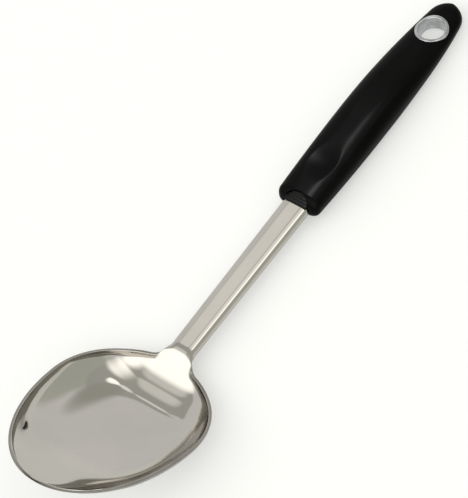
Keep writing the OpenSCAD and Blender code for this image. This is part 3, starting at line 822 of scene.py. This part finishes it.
def hollow_grip(piece):
    """Cuts the core's room, the stem's slot, the notch at the mouth and the eyelet's seat out of
    the grip."""
    front, back = CORE_FRONT_W / 2 + MOULD_GAP, CORE_BACK_W / 2 + MOULD_GAP
    x0, x1 = CORE_START - MOULD_GAP, CORE_START + CORE_L + MOULD_GAP
    corner = CORE_BACK_W / 4 + MOULD_GAP
    core = [(x0, -front), (x1 - corner, -back), (x1, -back + corner), (x1, back - corner),
            (x1 - corner, back), (x0, front)]
    core_low, core_high = -FLANGE_H - CORE_UNDER - MOULD_GAP, CORE_OVER + MOULD_GAP
    before_mouth, into_core, notch_high, seat_low, seat_high = -8, 1, 12, -5, 25
    slot = box_ring(before_mouth, CORE_START + into_core, STEM_MOUTH_W / 2 + FIT_GAP)
    cut(piece, [
        prism("cut_core", core, core_low, core_high, along_stem),
        prism("cut_slot", slot, -FLANGE_H - FIT_GAP, FIT_GAP, along_stem),
        prism("cut_notch", circle(-NOTCH_BACK, NOTCH_R), 0, notch_high, along_stem),
        prism("cut_tube", circle(HOLE_X, TUBE_R + PIN_GAP), seat_low, seat_high)])


steel = make_steel()
grip = make_grip()
hollow_grip(grip)
lining = make_eyelet()
back_ring = make_back_ring()
wedge = make_wedge()

eyelet_finish = eyelet_stainless()
for piece, node, slot, finish in (
        (steel, "bowl_and_stem", "polished_steel", polished_stainless()),
        (grip, "handle_grip", "black_grip", moulded_grip()),
        (wedge, "mouth_wedge", "wedge_rubber", ribbed_rubber()),
        (lining, "eyelet_tube", "eyelet_steel", eyelet_finish),
        (back_ring, "eyelet_back_ring", "eyelet_steel", eyelet_finish)):
    piece.data.materials.append(finish)
    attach(piece, BODY)
    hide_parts(node)
# The second slot, for the underside and edge: satin steel darkened with painted shade
steel.data.materials.append(satin_stainless_with_painted_shade())

for node, finish in (("handle_core", moulded_nylon()), ("tang_pins", drawn_pin_steel())):
    for slot in bpy.data.objects[node].material_slots:
        slot.material = finish

# ---- Studio

# The photograph's width and its focal length in pixels, and the camera's sensor and place in
# millimetres
FRAME_W, FOCAL_L, SENSOR_W = 468, 2581.12, 36.0
CAMERA_AT = (-375.562, -556.064, 1063.793)
CAMERA_AZ, CAMERA_EL, CAMERA_ROLL = radians(-32.943), radians(57.223), radians(-24.085)

# The room as the steel shows it. Each row is a round patch of wall or ceiling: the azimuth and
# height of its middle, the angles from there at which it starts and has ended fading, all in
# degrees, and its colour. A later row is laid over the ones before it.
WALL = (1.01, 1.01, 1.0)
ROOM = (
    (287, 22, 40, 52, (0.70, 0.725, 0.65)),  # dull wall on the near side
    (0, 90, 50, 53, (0.65, 0.66, 0.61)),     # dull ceiling
    (358, 42, 8, 20, (0.58, 0.58, 0.53)),    # dark corner over the handle
    (63, 43, 5, 12, (1.02, 1.02, 0.99)),     # pale patches on the far side
    (54, 57, 3, 7, (1.27, 1.27, 1.22)),
    (124, 58, 3, 13, (1.15, 1.15, 1.1)),
    (25, 68, 5, 12, (1.45, 1.45, 1.4)),      # soft lamps over the handle
    (335, 66, 8, 13, (2.25, 2.25, 2.15)),
    (200, 48, 14, 38, (2.4, 2.4, 2.3)),      # wide window beyond the bowl
    (147, 38, 10, 24, (2.5, 2.5, 2.4)),
)

# The lamp's width and distance in metres, its brightness, and its direction in degrees
LAMP_W, LAMP_AWAY, LAMP_LEVEL = 0.16, 1.2, 75
LAMP_AZ, LAMP_EL = 35, 68

# The floor's reach and height in millimetres, a hair under the spoon, and how far its paper is
# lifted towards white
FLOOR_REACH, FLOOR_LOW, FLOOR_LIFT = 6000, -SHEET_T / 50, 0.44


def look_matrix(right, up, back, place):
    m = Matrix.Identity(4)
    for i in range(3):
        m[i][0], m[i][1], m[i][2], m[i][3] = right[i], up[i], back[i], place[i]
    return m


def make_camera():
    """The photograph's camera, turned with the spoon as it was laid down."""
    az, el, roll = CAMERA_AZ, CAMERA_EL, CAMERA_ROLL
    back = np.array([sin(az) * cos(el), -cos(az) * cos(el), sin(el)])
    level = np.array([cos(az), sin(az), 0.0])
    steep = np.cross(back, level)
    right = cos(roll) * level + sin(roll) * steep
    up = -sin(roll) * level + cos(roll) * steep
    right, up, back = (at_rest(v) - at_rest([0, 0, 0]) for v in (right, up, back))
    data = bpy.data.cameras.new("camera")
    data.sensor_fit, data.sensor_width = "HORIZONTAL", SENSOR_W
    data.lens = FOCAL_L / FRAME_W * SENSOR_W
    data.clip_start, data.clip_end = 0.05, 50
    camera = bpy.data.objects.new("camera", data)
    camera.matrix_world = look_matrix(right, up, back, at_rest(CAMERA_AT) * MM)
    bpy.context.scene.collection.objects.link(camera)
    bpy.context.scene.camera = camera


def direction(az, el):
    az, el = radians(az), radians(el)
    return np.array([cos(el) * cos(az), cos(el) * sin(az), sin(el)])


def make_world():
    """Soft light from a pale room."""
    world = bpy.data.worlds.new("studio")
    bpy.context.scene.world = world
    world.use_nodes = True
    tree = world.node_tree
    tree.nodes.clear()
    place = add_node(tree, "ShaderNodeTexCoord")
    below = WALL
    for az, el, inner, outer, colour in ROOM:
        dot = add_node(tree, "ShaderNodeVectorMath", {
            "operation": "DOT_PRODUCT", 1: direction(az, el)}, {0: place.outputs["Generated"]})
        mask = add_node(tree, "ShaderNodeMapRange", {
            "interpolation_type": "SMOOTHSTEP", "From Min": cos(radians(outer)),
            "From Max": cos(radians(inner))}, {"Value": dot.outputs["Value"]})
        settings, links = {"data_type": "RGBA", 7: colour + (1.0,)}, {0: mask.outputs["Result"]}
        if below is WALL:
            settings[6] = below + (1.0,)
        else:
            links[6] = below
        below = add_node(tree, "ShaderNodeMix", settings, links).outputs[2]
    room = add_node(tree, "ShaderNodeBackground", {"Strength": 1.0}, {"Color": below})
    add_node(tree, "ShaderNodeOutputWorld", links={"Surface": room.outputs[0]})


def make_handle_lamp():
    """Small soft lamp above the tail that shines on the handle alone, on its raised edges."""
    data = bpy.data.lights.new("handle_lamp", "AREA")
    data.shape, data.size = "DISK", LAMP_W
    data.energy = LAMP_LEVEL * pi * pi * LAMP_W ** 2 / 4
    lamp = bpy.data.objects.new("handle_lamp", data)
    back = direction(LAMP_AZ, LAMP_EL)
    right = unit(np.cross([0, 0, 1], back))
    lamp.matrix_world = look_matrix(right, np.cross(back, right), back, back * LAMP_AWAY)
    bpy.context.scene.collection.objects.link(lamp)
    lit = bpy.data.collections.new("lit_by_handle_lamp")
    for piece in (grip, wedge):
        lit.objects.link(piece)
    lamp.light_linking.receiver_collection = lit


def make_floor():
    """White paper. Camera, mirror and glass rays see it lifted to white, and its shadow stays."""
    r, low = FLOOR_REACH, FLOOR_LOW
    corners = [(-r, -r, low), (r, -r, low), (r, r, low), (-r, r, low)]
    floor = add_mesh("floor", corners, [(0, 1, 2, 3)], smooth=False, turned=False)
    material, tree, shader = new_material("white_paper", {
        "Base Color": linear("#B8B8B6"), "Roughness": 0.9, "Specular IOR Level": 0.1,
        "Emission Color": (1, 1, 1, 1)})
    path = add_node(tree, "ShaderNodeLightPath")
    seen = path.outputs["Is Camera Ray"]
    for ray in ("Is Glossy Ray", "Is Transmission Ray"):
        seen = add_node(tree, "ShaderNodeMath", {"operation": "MAXIMUM"},
                        {0: seen, 1: path.outputs[ray]}).outputs[0]
    lift = add_node(tree, "ShaderNodeMath", {"operation": "MULTIPLY", 1: FLOOR_LIFT}, {0: seen})
    tree.links.new(lift.outputs[0], shader.inputs["Emission Strength"])
    floor.data.materials.append(material)


make_camera()
make_world()
make_handle_lamp()
make_floor()
bpy.context.scene.view_settings.view_transform = "Standard"
